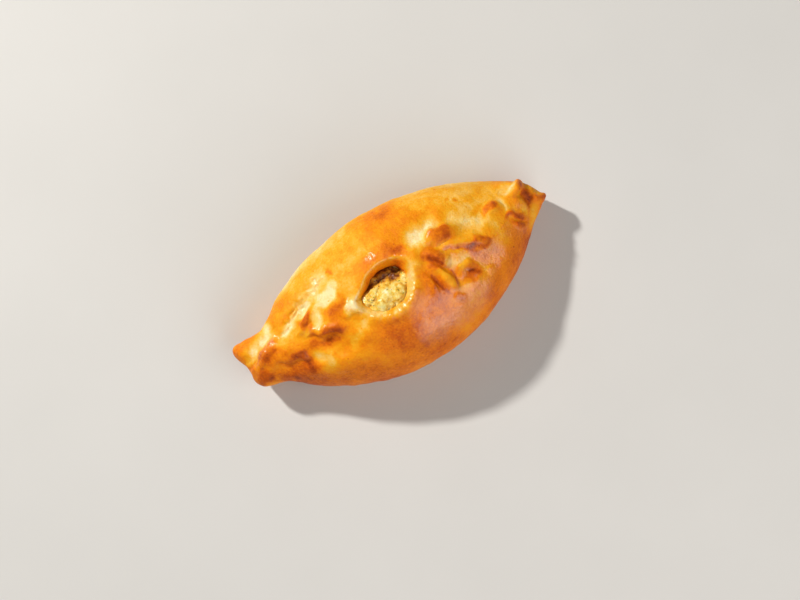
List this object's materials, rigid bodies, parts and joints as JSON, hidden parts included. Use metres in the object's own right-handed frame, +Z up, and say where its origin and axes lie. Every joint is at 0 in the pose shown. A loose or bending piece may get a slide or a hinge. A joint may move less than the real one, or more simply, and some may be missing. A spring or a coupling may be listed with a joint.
{
  "type": "piroshki",
  "caption": "Boat-shaped baked piroshki: a pinched golden crust with a forked tail, a horned tip and an open eye in the seam that shows its yellow filling.",
  "frame": {"origin": "centre of the bounding box in plan, on the surface that it rests on", "axes": "+X along the seam from the forked tail to the horned tip, +Y towards the side with the pale valley, +Z up"},
  "size_m": [0.15, 0.0704, 0.0454],
  "materials": {
    "baked_dough": "golden baked yeast dough with an egg-wash gloss, browner on the pinched folds",
    "filling": "moist yellow crumbly filling with dark and green specks"
  },
  "bodies": {
    "root": {"crust": "baked_dough", "filling": "filling"}
  },
  "joints": []
}
